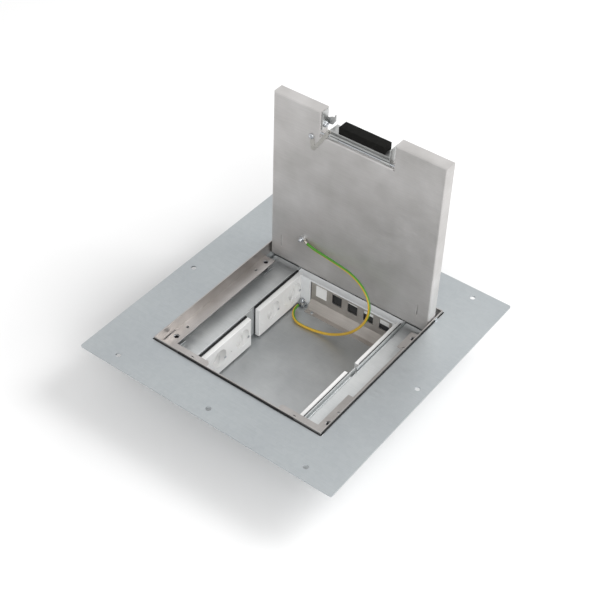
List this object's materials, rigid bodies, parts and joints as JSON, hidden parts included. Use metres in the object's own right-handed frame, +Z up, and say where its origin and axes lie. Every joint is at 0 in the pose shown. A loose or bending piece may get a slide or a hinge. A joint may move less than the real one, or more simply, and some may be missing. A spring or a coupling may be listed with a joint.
{
  "type": "floor socket box",
  "caption": "Recessed floor box: mounting plate and tub, hinged cable-outlet lid that takes floor covering, socket modules, data panel and earth wire.",
  "frame": {"origin": "centre of the tub's underside, which is the bottom of the part's bounding box", "axes": "+X along the front edge to the right, +Y from the cable notch's side to the lid hinge, +Z up; the lid stands open"},
  "size_m": [0.56, 0.58, 0.4775],
  "materials": {
    "galvanised_sheet": "galvanised",
    "carrier_zinc": "galvanised, folded",
    "stainless_frame": "brushed stainless",
    "stainless_lid": "brushed stainless",
    "grommet_rubber": "moulded, matt",
    "zinc_fasteners": "zinc plated",
    "flap_steel": "zinc plated sheet",
    "spring_steel": "rolled spring strip",
    "pad_rubber": "closed-cell, matt",
    "white_cover": "moulded, satin",
    "gasket_rubber": "moulded, matt",
    "contact_plastic": "moulded, matt",
    "clip_brass": "nickel plated",
    "white_powder_coat": "powder coated, satin",
    "panel_steel": "galvanised, dull",
    "lug_copper": "tinned copper, crimped",
    "wire_pvc": "extruded PVC, green and yellow"
  },
  "bodies": {
    "box": {"mounting_plate": "galvanised_sheet", "tub": "galvanised_sheet", "knockout_grommets": "grommet_rubber", "cassette_frame": "stainless_frame", "rim_seals": "grommet_rubber", "levelling_screws": "zinc_fasteners", "levelling_nuts": "zinc_fasteners", "corner_brackets": "galvanised_sheet", "hinge_pins": "zinc_fasteners", "socket_cover_front_left": "white_cover", "socket_gasket_front_left": "gasket_rubber", "socket_contacts_front_left": "contact_plastic", "socket_carrier_front_left": "carrier_zinc", "socket_cover_front_right": "white_cover", "socket_gasket_front_right": "gasket_rubber", "socket_contacts_front_right": "contact_plastic", "socket_carrier_front_right": "carrier_zinc", "socket_cover_rear_left": "white_cover", "socket_gasket_rear_left": "gasket_rubber", "socket_contacts_rear_left": "contact_plastic", "socket_carrier_rear_left": "carrier_zinc", "socket_cover_rear_right": "white_cover", "socket_gasket_rear_right": "gasket_rubber", "socket_contacts_rear_right": "contact_plastic", "socket_carrier_rear_right": "carrier_zinc", "earth_clips": "clip_brass", "cover_screws": "zinc_fasteners", "side_housing_left": "galvanised_sheet", "side_housing_right": "galvanised_sheet", "housing_screws": "zinc_fasteners", "rear_frame": "white_powder_coat", "data_panel": "panel_steel", "panel_screws": "zinc_fasteners", "data_blank": "white_cover", "earth_bracket": "galvanised_sheet", "floor_stud": "zinc_fasteners", "floor_earth_nut": "zinc_fasteners", "earth_lug_floor": "lug_copper", "earth_wire": "wire_pvc"},
    "lid": {"lid_tray": "stainless_lid", "lid_stiffener": "galvanised_sheet", "hinge_blocks": "zinc_fasteners", "flap_rod": "zinc_fasteners", "guide_screw": "zinc_fasteners", "bolt_spring": "spring_steel", "spring_screw": "zinc_fasteners", "lid_stud": "zinc_fasteners", "lid_washer": "zinc_fasteners", "lid_earth_nut": "zinc_fasteners", "earth_lug_lid": "lug_copper"},
    "flap": {"flap_plate": "flap_steel", "flap_pad": "pad_rubber"},
    "bolt": {"lid_bolt": "flap_steel"}
  },
  "joints": [
    {"name": "lid_hinge", "type": "hinge", "parent": "box", "child": "lid", "pos_m": [0, 0.1685, 0.1185], "axis": [1, 0, 0], "range_deg": [0, 90], "deforming": ["earth_wire"]},
    {"name": "flap_hinge", "type": "hinge", "parent": "lid", "child": "flap", "pos_m": [0, 0.1515, 0.4315], "axis": [1, 0, 0], "range_deg": [0, 90]},
    {"name": "lid_bolt_slide", "type": "slide", "parent": "lid", "child": "bolt", "axis": [0, 0, 1], "range_m": [0, 0.0045]}
  ]
}
